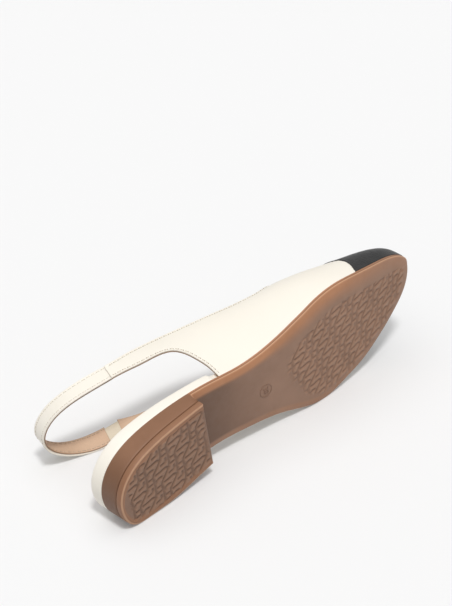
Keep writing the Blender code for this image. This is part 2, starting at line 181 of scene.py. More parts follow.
# Top line from the tail of the quarter to the throat, on the last
COLLAR = (
    # inner along, inner turn, outer along, outer turn
    (0.227, 0.329, 0.244, 0.378),
    (0.252, 0.346, 0.264, 0.370),
    (0.282, 0.373, 0.286, 0.366),
    (0.326, 0.415, 0.326, 0.380),
    (0.393, 0.478, 0.393, 0.426),
    (0.464, 0.512, 0.464, 0.476),
    (0.530, 0.527, 0.530, 0.500),
    (0.591, 0.512, 0.591, 0.500),
    (0.625, 0.523, 0.625, 0.515),
    (0.650, 0.590, 0.650, 0.585),
    (0.670, 0.710, 0.670, 0.705),
    (0.685, 0.870, 0.685, 0.870),
    (0.690, 1.000, 0.690, 1.000),
)

# Lower edge of the tail, then the back edge of the quarter down to the sole
BACK_EDGE = (
    # inner along, inner turn, outer along, outer turn
    (0.209, 0.236, 0.2225, 0.275),
    (0.249, 0.246, 0.250, 0.262),
    (0.288, 0.257, 0.288, 0.256),
    (0.321, 0.274, 0.321, 0.256),
    (0.350, 0.282, 0.350, 0.254),
    (0.366, 0.268, 0.365, 0.240),
    (0.374, 0.232, 0.372, 0.210),
    (0.378, 0.150, 0.376, 0.145),
    (0.377, 0.073, 0.376, 0.073),
    (0.369, 0.000, 0.369, 0.000),
)

# Rear seam of the toe cap on the last
CAP_SEAM = (
    # turn, along
    (0.00, 0.8095),
    (0.06, 0.8190),
    (0.12, 0.8250),
    (0.20, 0.8290),
    (0.30, 0.8305),
    (0.38, 0.8285),
    (0.46, 0.8190),
    (0.58, 0.8080),
    (0.75, 0.8010),
    (1.00, 0.7990),
)

# Sling from the inner tail round the back to the outer tail
SLING = (
    # back, side, height, forwards, inwards
    (0.29, -0.327, 0.848, 17, -1),
    (0.61, -0.282, 0.907, 19, -3),
    (0.85, -0.195, 0.963, 22, 0),
    (1.00, -0.071, 0.994, 19, 1),
    (0.99, 0.061, 1.007, 15, 4),
    (0.83, 0.196, 0.991, 12, 4),
    (0.58, 0.287, 0.957, 16, 6),
    (0.26, 0.318, 0.898, 20, 16),
)

# Edge of the sole from its top edge down to the flat bottom
SOLE_EDGE = (
    # inset, height over the ground line
    (0.00, 3.40),
    (0.22, 2.55),
    (0.34, 2.05),
    (0.16, 1.72),
    (-0.02, 1.50),
    (0.04, 1.28),
    (0.32, 1.06),
    (1.00, 0.74),
    (2.20, 0.38),
    (3.80, 0.12),
    (5.80, 0.00),
)

# Rows of the edge with painted shade in a crease or a painted highlight on a bead
EDGE_SHADE_AND_HIGHLIGHT = (
    # row, painted shade, painted highlight
    (1, 0.25, 0.0),
    (2, 0.55, 0.0),
    (3, 0.35, 0.0),
    (4, 0.0, 0.45),
    (5, 0.0, 0.70),
    (6, 0.0, 0.35),
)

# Wall of the heel stack from the sole's top edge down to the top lift
STACK_EDGE = (
    # share of the taper, share of the height
    (0.00, 1.00),
    (0.12, 0.86),
    (0.26, 0.70),
    (0.42, 0.52),
    (0.60, 0.34),
    (0.78, 0.18),
    (0.92, 0.06),
    (1.20, 0.00),
    (2.00, 0.00),
    (3.20, 0.00),
    (5.00, 0.00),
)

# Wall of the top lift from its top down to its tread
LIFT_EDGE = (
    # inset beyond the taper, height
    (0.55, 4.40),
    (0.10, 4.05),
    (-0.05, 3.40),
    (0.00, 2.20),
    (0.06, 1.10),
    (0.14, 0.66),
    (0.34, 0.34),
    (0.66, 0.13),
    (1.10, 0.03),
    (1.60, 0.00),
    (2.40, 0.00),
)

# Its rows at the rounded edge of the tread, which take a painted highlight
LIFT_HIGHLIGHT_ROWS = (6, 7, 8)
LIFT_RIM_HIGHLIGHT = 0.5

# Edge of the sock lining from its base up
SOCK_EDGE = (
    # inset, share of the thickness, height beyond it
    (0.0, 0.0, 0.0),
    (-0.1, 0.4, 0.0),
    (0.0, 0.8, 0.0),
    (0.5, 1.0, 0.0),
    (1.6, 1.0, 0.08),
)

# Moulded grooves of the tread, on the heel, in millimetres from TREAD_START
TREAD_LINES = (
    ((14.3, 1.6), (14.0, 8.9), (13.2, 12.9), (6.6, 19.3), (5.8, 21.4), (6.0, 23.6), (6.5, 25.6)),
    ((8.3, 1.5), (12.8, 1.3)),
    ((7.8, 7.35), (11.1, 7.15), (12.1, 6.1), (11.7, 4.2)),
    ((3.0, 11.25), (6.5, 11.25), (10.2, 10.9), (13.0, 12.2)),
    ((2.1, 17.4), (2.7, 15.75), (4.3, 15.0), (6.6, 15.4)),
    ((2.6, 21.2), (6.1, 21.2)),
)
TREAD_START = (20.5, -24.1)
TREAD_STEP = ((5.3, 9.56), (23.75, 4.7))
FORE_TREAD_START = (169.4, -11.4)
FORE_TREAD_STEP = ((3.3, 9.7), (20.6, 3.3))
FORE_TREAD_SHARE = 0.95

# Size mark
SIZE_NUMBER = "38"
MARK_PLACE = (125, 5.4)
MARK_RADIUS = 4.4
MARK_HEIGHT = 5.2
MARK_LINE = 0.17

# Relief of the tread, painted shade, painted highlights, darkening and buffing of the sole
TREAD_DEPTH = 0.95
STROKE_DEPTH = 0.7
CROSS_DEPTH = 0.75
TREAD_CROWN = 0.28
GROOVE_FLAT = 0.2
GROOVE_REACH = 1.2
GROOVE_SHADE = 0.20
PAD_HIGHLIGHT = 0.15
HEEL_DARKENING = 0.62
HEEL_BACK_SHADE = 0.2
HEEL_BUFFED = 1.0
WAIST_SHADE = 0.7
LIFT_DARKENING = 0.34
LIFT_WALL_DARKENING = 0.5
CROWN_PLACE = 1.75
CROWN_WIDTH = 0.7
TOE_FADE = 0.65
LIFT_BUFFED = 0.9

# Buffed border of the outsole, whose inner stretch widens over a run of the length. It is partly painted
# light: the inner side, which faces the light, has a wider and stronger border than the outer side.
BORDER_WIDTH = 8
BORDER_GAIN = 6
BORDER_RUN = (0.45, 0.62)
OUTER_BORDER = 0.35
OUTER_WALL_BUFFED_AND_LIT = 0.4

# Start of the forefoot's tread, in a shallow wave, and how softly it fades at its edge
FIELD_RUN = (0.545, 0.575)
FIELD_WAVE = 0.02
FIELD_WAVE_LENGTH = 9
FIELD_FADE = 2.5

# The heel's tread: bare strip at its back, and the height of its rounded front edge
LIFT_BARE = 6
LIFT_FRONT_ROUND = 0.55

# Points along and across the moulded pieces, crowded where they carry tread
TREAD_REACH = (0.53, 0.93)
HEEL_COLUMNS, WAIST_COLUMNS, TREAD_COLUMNS, TOE_COLUMNS = 44, 50, 220, 60
OUTSOLE_ACROSS = 150
LIFT_BACK, LIFT_FRONT = 0.03, 0.003
LIFT_BACK_COLUMNS, LIFT_COLUMNS = 34, 130
LIFT_ACROSS = 116
FOOTBED_COLUMNS, FOOTBED_ACROSS = 240, 16
SOCK_COLUMNS, SOCK_ACROSS = 200, 40

# Where the forefoot's tread ends, in millimetres in from the sole's edge
TREAD_FIELD = (
    # along, from the inner edge, from the outer edge
    (0.54, 22.0, 22.0),
    (0.58, 16.0, 9.0),
    (0.64, 14.0, 5.5),
    (0.72, 13.0, 4.2),
    (0.80, 12.5, 4.0),
    (0.88, 11.5, 4.0),
    (0.95, 9.0, 4.2),
    (1.00, 6.0, 6.0),
)


def station(along):
    """Even steps of a station crowd towards the heel and the toe."""
    return np.arccos(1 - 2 * np.clip(along, 0, 1)) / math.pi


def along_at(stations):
    return (1 - np.cos(math.pi * np.asarray(stations))) / 2


def fair(knots, values, at):
    """Natural cubic spline, for outlines that must look fair."""
    count = len(knots)
    step = np.diff(knots)
    system = np.eye(count)
    right = np.zeros(count)
    for i in range(1, count - 1):
        system[i, i - 1:i + 2] = step[i - 1], 2 * (step[i - 1] + step[i]), step[i]
        right[i] = 6 * ((values[i + 1] - values[i]) / step[i] - (values[i] - values[i - 1]) / step[i - 1])
    bend = np.linalg.solve(system, right)
    i = np.clip(np.searchsorted(knots, at) - 1, 0, count - 2)
    before, after = at - knots[i], knots[i + 1] - at
    cubic = (bend[i] * after ** 3 + bend[i + 1] * before ** 3) / (6 * step[i])
    line = (values[i] / step[i] - bend[i] * step[i] / 6) * after
    return cubic + line + (values[i + 1] / step[i] - bend[i + 1] * step[i] / 6) * before


def steady(knots, values, at):
    """Cubic curve that never overshoots, so that flat stretches stay flat."""
    step = np.diff(knots)
    slope = np.diff(values) / step
    lean = np.zeros(len(knots))
    lean[0], lean[-1] = slope[0], slope[-1]
    same = slope[:-1] * slope[1:] > 0
    lean[1:-1][same] = 2 * (slope[:-1] * slope[1:])[same] / (slope[:-1] + slope[1:])[same]
    i = np.clip(np.searchsorted(knots, at) - 1, 0, len(step) - 1)
    t = (at - knots[i]) / step[i]
    ends = values[i] * (1 + 2 * t) * (1 - t) ** 2 + values[i + 1] * t * t * (3 - 2 * t)
    return ends + step[i] * t * (1 - t) * (lean[i] * (1 - t) - lean[i + 1] * t)


def column(table, index, along, rule):
    rows = np.array(table)
    return rule(station(rows[:, 0]), rows[:, index], station(along))


def path(rows, count, weights=1):
    """Points at even steps along a smooth curve through the rows."""
    rows = np.array(rows)
    length = np.r_[0, np.cumsum(np.linalg.norm(np.diff(rows, axis=0) * weights, axis=1))]
    at = np.linspace(0, length[-1], count)
    return np.stack([fair(length, rows[:, k], at) for k in range(rows.shape[1])], axis=1)


def ease(start, end, value):
    t = np.clip((np.asarray(value) - start) / (end - start), 0, 1)
    return t * t * (3 - 2 * t)


def bump(value, centre, width):
    return np.exp(-((np.asarray(value) - centre) / width) ** 2)


def ground(along):
    """Underside of the sole without its heel."""
    rise = column(PROFILE, 1, along, steady) * (STACK_HEIGHT - SOLE_THICKNESS)
    return rise + column(PROFILE, 2, along, steady) * TOE_SPRING


def feather(along):
    return ground(along) + SOLE_THICKNESS


def footbed_top(along):
    return feather(along) + RAND_HEIGHT * column(PROFILE, 3, along, steady)


def edge(along, side):
    return BALL_WIDTH * column(OUTLINE, 1 if side < 0 else 2, along, fair)


def inset_edge(stations, inset, side):
    """Points of the outline moved inwards by a distance, square to the outline."""
    small = 1e-4
    ahead, behind = np.minimum(stations + small, 1), np.maximum(stations - small, 0)
    dx = SOLE_LENGTH * (along_at(ahead) - along_at(behind))
    dy = edge(along_at(ahead), side) - edge(along_at(behind), side)
    size = np.hypot(dx, dy)
    x = SOLE_LENGTH * along_at(stations) + side * inset * dy / size
    y = edge(along_at(stations), side) - side * inset * dx / size
    return x, y


def last(along, turn, side):
    """Surface of the last. A turn of 0 is the sole's top edge and 1 is the ridge."""
    ridge = INSTEP_HEIGHT * column(LAST, 1, along, fair)
    middle = BALL_WIDTH * column(LAST, 2, along, fair)
    swell = BALL_WIDTH * column(LAST, 3, along, fair)
    power = 2 / column(LAST, 4, along, steady)
    angle = np.clip(turn, 0, 1) * math.pi / 2
    across = (edge(along, side) - middle) * np.cos(angle) ** power + side * swell * np.sin(2 * angle)
    seat = GAP * ease(0, SEAT_TURN, turn)
    height = feather(along) + seat + ridge * np.sin(angle) ** power
    x = SOLE_LENGTH * np.broadcast_to(along, height.shape)
    return np.stack([x, middle + across, height], axis=-1)


def heel_draft(along, height):
    """How far the heel's wall stands in from the outline, at a height over its tread."""
    back = 1 - ease(0, FLARE_REACH, along)
    return (HEEL_TAPER - HEEL_FLARE * back) * (1 - height / STACK_HEIGHT)


def unit(vectors):
    return vectors / np.maximum(np.linalg.norm(vectors, axis=-1, keepdims=True), 1e-12)


# The lying shoe's place, from the two tread mounts

HEEL_MOUNT = (36, 0, 0)
BALL_MOUNT = (183, 5, 0)


def shoe_place():
    mounts = {m["name"]: m for m in frame["record"]["mounts"]}
    heel, ball = (Vector(mounts[name]["pos_m"]) for name in ("heel_tread", "ball_tread"))
    up = -Vector(mounts["heel_tread"]["axis"]).normalized()
    along = ball - heel
    along = (along - along.dot(up) * up).normalized()
    left = up.cross(along)
    angle = math.atan2(BALL_MOUNT[1] - HEEL_MOUNT[1], BALL_MOUNT[0] - HEEL_MOUNT[0])
    x_axis = along * math.cos(angle) - left * math.sin(angle)
    y_axis = along * math.sin(angle) + left * math.cos(angle)
    place = Matrix((x_axis, y_axis, up)).transposed().to_4x4()
    place.translation = heel - x_axis * HEEL_MOUNT[0] * MM
    return place


SHOE = shoe_place()


# Mesh helpers

def weld(grids, closed=False):
    """Points and faces of grids of points, welded where they meet, and each point's first place."""
    points, faces, start = [], [], 0
    for grid, flip in grids:
        grid = np.asarray(grid)
        if closed:
            grid = np.concatenate([grid, grid[:1]])
        rows, columns = grid.shape[:2]
        index = start + np.arange(rows * columns).reshape(rows, columns)
        quads = np.stack([index[:-1, :-1], index[:-1, 1:], index[1:, 1:], index[1:, :-1]], axis=-1)
        quads = quads.reshape(-1, 4)
        faces.append(quads[:, ::-1] if flip else quads)
        points.append(grid.reshape(-1, 3))
        start += rows * columns
    points, faces = np.concatenate(points), np.concatenate(faces)
    _, first, same = np.unique(np.round(points, 3), axis=0, return_index=True, return_inverse=True)
    faces = same.reshape(-1)[faces]
    kept = []
    for face in faces.tolist():
        corners = [v for k, v in enumerate(face) if v != face[k - 1]]
        if len(set(corners)) > 2:
            kept.append(corners)
    return points[first], kept, first


def vertex_normals(points, faces):
    total = np.zeros_like(points)
    for size in (3, 4):
        group = np.array([f for f in faces if len(f) == size])
        if len(group) == 0:
            continue
        first, second, third, final = (points[group[:, k]] for k in (0, 1, 2, -1))
        normal = np.cross(third - first, final - second)
        for k in range(size):
            np.add.at(total, group[:, k], normal)
    return unit(total)


def rim_of(points, faces, normals):
    """Edges that have one face, and the direction out of the surface at their points."""
    seen = {}
    for face in faces:
        for a, b in zip(face, face[1:] + face[:1]):
            key = (min(a, b), max(a, b))
            seen[key] = None if key in seen else (a, b)
    edges = np.array([pair for pair in seen.values() if pair])
    outwards = np.zeros_like(points)
    run = points[edges[:, 1]] - points[edges[:, 0]]
    for k in (0, 1):
        np.add.at(outwards, edges[:, k], np.cross(run, normals[edges[:, k]]))
    return edges, unit(outwards)


RIM_STEPS = 6


def shell(points, faces, outer, inner, pull=0.0):
    """Closed shell between two offsets of an open surface, and tags: outside, inside, rim."""
    normals = vertex_normals(points, faces)
    edges, outwards = rim_of(points, faces, normals)
    radius = (outer - inner) / 2
    points = points - outwards * (pull + radius)
    count = len(points)
    tags = [0] * len(faces) + [1] * len(faces)
    everything = [points + normals * outer, points + normals * inner]
    shell_faces = [list(f) for f in faces] + [[v + count for v in reversed(f)] for f in faces]
    rim = np.unique(edges)
    place = {int(v): k for k, v in enumerate(rim)}
    centre = points[rim] + normals[rim] * (outer + inner) / 2
    for step in range(1, RIM_STEPS):
        angle = math.pi * step / RIM_STEPS
        turned = normals[rim] * math.cos(angle) + outwards[rim] * math.sin(angle)
        everything.append(centre + radius * turned)

    def ring(vertex, step):
        if step == 0:
            return vertex
        if step == RIM_STEPS:
            return vertex + count
        return 2 * count + (step - 1) * len(rim) + place[vertex]

    for a, b in edges.tolist():
        for step in range(RIM_STEPS):
            shell_faces.append([ring(b, step), ring(a, step), ring(a, step + 1), ring(b, step + 1)])
            tags.append(2)
    return np.concatenate(everything), shell_faces, tags


def linked(name, data):
    thing = bpy.data.objects.new(name, data)
    bpy.context.scene.collection.objects.link(thing)
    return thing


def new_piece(name, points, faces, finishes, tags=None, sharp=60, values=None):
    """Piece in the shoe's place, riding the one body.

    Values are numbers for each point that its materials read.
    """
    mesh = bpy.data.meshes.new(name)
    mesh.from_pydata((np.asarray(points) * MM).tolist(), [], faces)
    mesh.validate()
    for finish in finishes:
        mesh.materials.append(finish)
    if tags is not None:
        mesh.polygons.foreach_set("material_index", tags)
    for title, numbers in (values or {}).items():
        data = mesh.attributes.new(title, "FLOAT", "POINT").data
        data.foreach_set("value", np.asarray(numbers, dtype=float))
    mesh.transform(SHOE)
    mesh.shade_smooth()
    mesh.set_sharp_from_angle(angle=math.radians(sharp))
    piece = linked(name, mesh)
    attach(piece, "root")
    return piece


def closed_outwards(points, faces):
    """The same faces, turned outwards, and those that close an open end."""
    bm = bmesh.new()
    vertices = [bm.verts.new(p) for p in points]
    for face in faces:
        bm.faces.new([vertices[v] for v in face])
    bmesh.ops.holes_fill(bm, edges=[e for e in bm.edges if e.is_boundary], sides=0)
    bmesh.ops.recalc_face_normals(bm, faces=bm.faces)
    bm.verts.index_update()
    closed = [[v.index for v in face.verts] for face in bm.faces]
    bm.free()
    return closed


def grid_piece(name, grid, finishes, sharp=60, **values):
    """Closed piece from a grid of points whose last row meets its first."""
    points, faces, first = weld([(grid, False)], closed=True)
    kept = {title: numbers.reshape(-1)[first] for title, numbers in values.items()}
    return new_piece(name, points, closed_outwards(points, faces), finishes, sharp=sharp, values=kept)


def distance_to(points, line):
    """Distance from each point to a polyline."""
    best = np.full(points.shape[:-1], np.inf)
    for a, b in zip(line[:-1], line[1:]):
        run = b - a
        share = np.clip(((points - a) @ run) / max(run @ run, 1e-9), 0, 1)
        best = np.minimum(best, np.linalg.norm(points - a - share[..., None] * run, axis=-1))
    return best


def evenly(line, extra, pitch):
    """Points at an even pitch along a polyline, with values that go with them."""
    length = np.r_[0, np.cumsum(np.linalg.norm(np.diff(line, axis=0), axis=1))]
    count = max(2, int(length[-1] / pitch))
    at = (np.arange(count) + 0.5) * length[-1] / count
    return [np.stack([np.interp(at, length, data[:, k]) for k in range(3)], axis=1)
            for data in (line, extra)]


# Colours and materials

CREAM = (0.850, 0.805, 0.720)
CREAM_WARM = (0.840, 0.790, 0.697)
BLACK = (0.018, 0.018, 0.018)
BLACK_WORN = (0.032, 0.032, 0.032)
TAN = (0.63, 0.44, 0.305)
TAN_DARK = (0.575, 0.395, 0.27)
RUBBER = (0.298, 0.171, 0.112)
RUBBER_DARK = (0.255, 0.145, 0.093)
# Warm colour of buffed edges, also used as painted light along the sole's inner side
BUFFED = (0.440, 0.204, 0.099)
BUFFED_DARK = (0.384, 0.174, 0.082)
# Painted shade in grooves, over the waist, in the edge's crease and at the heel's back; also a darker tone
# on the heel and top lift
SHADE_AND_DARKENING_COLOUR = (0.108, 0.055, 0.031)
ELASTIC = (0.80, 0.715, 0.58)
ELASTIC_DARK = (0.67, 0.585, 0.45)
# Darker brown on the lining's cut edges, painted shade along them
EDGE_SHADE = (0.36, 0.23, 0.15)
EDGE_SHADE_DARK = (0.30, 0.18, 0.11)
# Painted shade where the stitches go into the leather
HOLE_SHADE = (0.16, 0.11, 0.07)
# Painted highlight on the sole's bead, the tread's pads and the top lift's rim
HIGHLIGHT_COLOUR = (0.62, 0.37, 0.23)
MARK_COLOUR = (0.200, 0.115, 0.078)
CREAM_THREAD = (0.80, 0.75, 0.64)
TAN_THREAD = (0.55, 0.42, 0.31)


def named(tree, kind, **settings):
    node = tree.nodes.new(kind)
    for key, value in settings.items():
        setattr(node, key, value)
    return node


def placed(tree, texture, scale):
    """Gives a texture a scale at which 1 makes cells of about a millimetre."""
    place = named(tree, "ShaderNodeTexCoord")
    mapping = named(tree, "ShaderNodeMapping")
    mapping.inputs["Scale"].default_value = [scale / MM] * 3
    texture.inputs["Scale"].default_value = 1
    tree.links.new(place.outputs["Object"], mapping.inputs["Vector"])
    tree.links.new(mapping.outputs["Vector"], texture.inputs["Vector"])


def noise(tree, scale, detail=3.0):
    texture = named(tree, "ShaderNodeTexNoise")
    texture.inputs["Detail"].default_value = detail
    placed(tree, texture, scale)
    return texture.outputs["Fac"]


def cells(tree, scale, feature="F1"):
    texture = named(tree, "ShaderNodeTexVoronoi", feature=feature)
    placed(tree, texture, scale)
    return texture.outputs["Distance"]


def ramp(tree, source, low, high, start=0.3, end=0.7):
    node = named(tree, "ShaderNodeValToRGB")
    for stop, position, colour in zip(node.color_ramp.elements, (start, end), (low, high)):
        stop.position = position
        stop.color = (*colour, 1)
    tree.links.new(source, node.inputs["Fac"])
    return node.outputs["Color"]


def blend(tree, factor, first, second, mode="MIX"):
    node = named(tree, "ShaderNodeMix", data_type="RGBA", blend_type=mode)
    for socket, value in ((0, factor), (6, first), (7, second)):
        if isinstance(value, bpy.types.NodeSocket):
            tree.links.new(value, node.inputs[socket])
        elif socket == 0:
            node.inputs[socket].default_value = value
        else:
            node.inputs[socket].default_value = (*value, 1)
    return node.outputs[2]


def spread(tree, source, low, high, start=0.25, end=0.75):
    node = named(tree, "ShaderNodeMapRange")
    node.inputs["From Min"].default_value = start
    node.inputs["From Max"].default_value = end
    node.inputs["To Min"].default_value = low
    node.inputs["To Max"].default_value = high
    tree.links.new(source, node.inputs["Value"])
    return node.outputs["Result"]


def attribute(tree, name):
    return named(tree, "ShaderNodeAttribute", attribute_name=name).outputs["Fac"]


def relief(tree, layers):
    """Chain of bumps, each with its height in millimetres."""
    normal = None
    for source, height in layers:
        node = named(tree, "ShaderNodeBump")
        node.inputs["Distance"].default_value = height * MM
        node.inputs["Strength"].default_value = 1
        tree.links.new(source, node.inputs["Height"])
        if normal is not None:
            tree.links.new(normal, node.inputs["Normal"])
        normal = node.outputs["Normal"]
    return normal


def finish(name, build, roughness=0.5, **sockets):
    """Principled material. build returns its colour, roughness and normal sockets, if any."""
    material = bpy.data.materials.new(name)
    material.use_nodes = True
    tree = material.node_tree
    shader = tree.nodes["Principled BSDF"]
    shader.inputs["Roughness"].default_value = roughness
    for key, value in sockets.items():
        shader.inputs[key.replace("_", " ")].default_value = value
    for socket, source in zip(("Base Color", "Roughness", "Normal"), build(tree)):
        if source is not None:
            tree.links.new(source, shader.inputs[socket])
    return material


def cream_leather(tree):
    blotch = noise(tree, 0.02, 2)
    grain = noise(tree, 1.6, 4)
    pores = cells(tree, 1.1)
    colour = ramp(tree, blotch, CREAM_WARM, CREAM)
    fine = spread(tree, grain, 0.94, 1.0)
    colour = blend(tree, 0.35, colour, fine, "MULTIPLY")
    rough = spread(tree, noise(tree, 0.15, 3), 0.44, 0.60)
    return colour, rough, relief(tree, ((pores, 0.012), (grain, 0.02)))


def black_leather(tree):
    pebbles = cells(tree, 0.85, "SMOOTH_F1")
    grain = noise(tree, 2.2, 5)
    colour = ramp(tree, noise(tree, 0.08, 3), BLACK, BLACK_WORN)
    rough = spread(tree, grain, 0.34, 0.54)
    return colour, rough, relief(tree, ((pebbles, 0.16), (grain, 0.06)))


def tan_lining(tree):
    grain = noise(tree, 1.2, 5)
    pores = cells(tree, 1.6)
    colour = ramp(tree, noise(tree, 0.06, 4), TAN_DARK, TAN)
    fine = spread(tree, grain, 0.82, 1.0)
    colour = blend(tree, 0.6, colour, fine, "MULTIPLY")
    rough = spread(tree, grain, 0.62, 0.82)
    return colour, rough, relief(tree, ((pores, 0.02), (grain, 0.035)))


def sole_rubber(tree):
    """Brown moulded rubber, warmer where its edges have buffing and painted light, with painted shade and
    painted highlights.
    """
    mottle = ramp(tree, noise(tree, 0.05, 4), RUBBER_DARK, RUBBER)
    warm = ramp(tree, noise(tree, 0.07, 3), BUFFED_DARK, BUFFED)
    colour = blend(tree, attribute(tree, "buffed_and_lit"), mottle, warm)
    # Painted shade and darkening, then painted highlights
    colour = blend(tree, attribute(tree, "shade_and_darkening"), colour, SHADE_AND_DARKENING_COLOUR)
    colour = blend(tree, attribute(tree, "painted_highlight"), colour, HIGHLIGHT_COLOUR)
    grain = noise(tree, 1.5, 4)
    rough = spread(tree, noise(tree, 0.3, 3), 0.50, 0.64)
    return colour, rough, relief(tree, ((grain, 0.015),))


def mark_rubber(tree):
    grain = noise(tree, 1.5, 4)
    colour = ramp(tree, grain, MARK_COLOUR, RUBBER_DARK)
    return colour, spread(tree, grain, 0.5, 0.64), None


def elastic_weave(tree):
    """Fine ribs that run along the elastic, crossed by its threads."""
    both = named(tree, "ShaderNodeMath", operation="MULTIPLY")
    for title, socket in zip(("rib", "run"), both.inputs):
        wave = named(tree, "ShaderNodeMath", operation="SINE")
        tree.links.new(attribute(tree, title), wave.inputs[0])
        tree.links.new(wave.outputs[0], socket)
    colour = ramp(tree, both.outputs[0], ELASTIC_DARK, ELASTIC, 0.0, 0.6)
    return colour, None, relief(tree, ((both.outputs[0], 0.08),))


def thread(colour):
    """Twisted thread with painted shade at both ends, where it goes into the leather."""
    def build(tree):
        twist = noise(tree, 3.0, 3)
        shade = spread(tree, twist, 0.8, 1.0)
        twisted = blend(tree, 0.5, colour, shade, "MULTIPLY")
        # Painted shade at the ends of each stitch
        hole_shaded = blend(tree, attribute(tree, "hole_shade"), twisted, HOLE_SHADE)
        return hole_shaded, None, relief(tree, ((twist, 0.03),))
    return build


# Darker brown of the lining's cut edges: painted shade along them
def shaded_edge(tree):
    grain = noise(tree, 1.5, 4)
    return ramp(tree, grain, EDGE_SHADE_DARK, EDGE_SHADE), None, relief(tree, ((grain, 0.03),))


cream = finish("Cream leather", cream_leather, Sheen_Weight=0.05)
black = finish("Black grained leather", black_leather)
lining = finish("Tan lining", tan_lining)
lining_shaded_edge = finish("Shaded lining edge", shaded_edge, roughness=0.6)
rubber = finish("Brown rubber", sole_rubber)
mark = finish("Moulded size mark", mark_rubber)
webbing = finish("Cream elastic", elastic_weave, roughness=0.8)
cream_thread = finish("Cream thread", thread(CREAM_THREAD), roughness=0.7)
tan_thread = finish("Tan thread", thread(TAN_THREAD), roughness=0.7)


# Sole

def field_margin(along, side):
    rows = np.array(TREAD_FIELD)
    return np.interp(along, rows[:, 0], rows[:, 1 if side < 0 else 2])


def tread(points, start, steps):
    """Grooves and the crowned pads beside them at flat points, each from 0 to 1."""
    here = np.linalg.inv(np.array(TREAD_STEP).T)
    there = np.array(steps).T
    cell = np.linalg.inv(there) @ (points - start).T
    local = (there @ (cell - np.floor(cell))).T
    nearest = np.full(len(points), np.inf)
    groove = np.zeros(len(points))
    for line in TREAD_LINES:
        share = 1 if line is TREAD_LINES[0] else STROKE_DEPTH
        turned = (there @ here @ np.array(line).T).T
        for a, b in zip(turned[:-1], turned[1:]):
            lengthwise = abs(b[0] - a[0]) / np.linalg.norm(b - a)
            depth = share * (CROSS_DEPTH + (1 - CROSS_DEPTH) * ease(0, 0.8, lengthwise))
            # Repeats that reach into this one
            for i in range(-3, 2):
                for j in range(-1, 2):
                    away = distance_to(local, np.array([a, b]) + there @ (i, j))
                    nearest = np.minimum(nearest, away)
                    groove = np.maximum(groove, depth * ease(GROOVE_REACH, GROOVE_FLAT, away))
    return groove, bump(nearest, CROWN_PLACE, CROWN_WIDTH)


def sole_grid(stations, insets, heights, across):
    """Rows round a sole: the inner edge down, straight across the bottom, the outer edge up."""
    inner, outer = [], []
    for inset, height in zip(insets, heights):
        inset = np.broadcast_to(inset, stations.shape)
        sides = []
        for side in (-1, 1):
            x, y = inset_edge(stations, inset, side)
            sides.append(np.stack([x, y, np.broadcast_to(height, stations.shape)], axis=1))
        for end in ([0, -1] if stations[-1] > 0.999 else [0]):
            middle = (sides[0][end] + sides[1][end]) / 2
            sides[0][end] = sides[1][end] = middle
        inner.append(sides[0])
        outer.append(sides[1])
    share = np.linspace(0, 1, across + 1)[1:-1, None, None]
    bottom = inner[-1][None] * (1 - share) + outer[-1][None] * share
    return np.concatenate([np.array(inner), bottom, np.array(outer[::-1])])


def bottom_rows(edge_rows, across):
    return slice(edge_rows - 1, edge_rows + across)


def from_edges(flat):
    """Distances across a bottom from its inner and its outer edge."""
    return flat[..., 1] - flat[0, :, 1], flat[-1, :, 1] - flat[..., 1]


def press_tread(flat, field, start, steps, share=1):
    """Presses the tread into a field of a flat grid, and gives its grooves and pads."""
    grooves, pads = (data.reshape(field.shape) * field
                     for data in tread(flat[..., :2].reshape(-1, 2), start, steps))
    flat[..., 2] += share * (TREAD_DEPTH * grooves - TREAD_CROWN * pads)
    return grooves, pads


def outsole_edges(along, under_heel):
    """Insets and heights of the rows down the edge, or down the heel stack's wall."""
    stack_bottom = TOP_LIFT_HEIGHT + GAP
    taper = heel_draft(along, TOP_LIFT_HEIGHT)
    insets, heights = [], []
    for (inset, height), (share, level) in zip(SOLE_EDGE, STACK_EDGE):
        insets.append(np.where(under_heel, min(share, 1) * taper + max(share - 1, 0), inset))
        stack_height = stack_bottom + level * (feather(along) - stack_bottom)
        heights.append(np.where(under_heel, stack_height, ground(along) + height))
    return insets, heights


